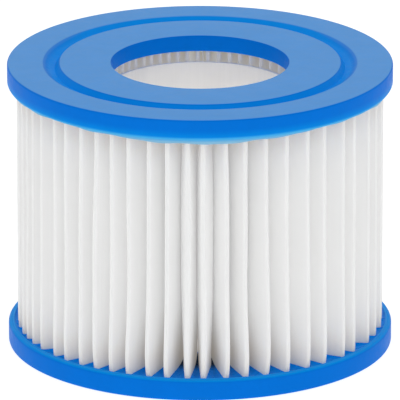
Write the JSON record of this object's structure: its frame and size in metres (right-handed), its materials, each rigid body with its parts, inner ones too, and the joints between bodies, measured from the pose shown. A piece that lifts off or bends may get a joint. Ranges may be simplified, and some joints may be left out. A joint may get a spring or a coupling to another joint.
{
  "type": "filter cartridge",
  "caption": "Short round pool and spa filter cartridge: white pleated sheet round a perforated core, with moulded blue ring caps and an open bore through both ends.",
  "frame": {"origin": "centre of the lower end cap's outer face, on the cartridge's axis", "axes": "+Z along the axis from the lower cap to the upper one; +X and +Y are alike, and the sheet's seam is on the +Y side"},
  "size_m": [0.106, 0.106, 0.08],
  "materials": {
    "cap": "satin",
    "potting": "satin",
    "media": "matte",
    "seam": "satin",
    "core": "satin"
  },
  "bodies": {
    "root": {"bottom_end_cap": "cap", "top_end_cap": "cap", "bottom_potting": "potting", "top_potting": "potting", "pleated_media": "media", "media_seam": "seam", "centre_core": "core"}
  },
  "joints": []
}
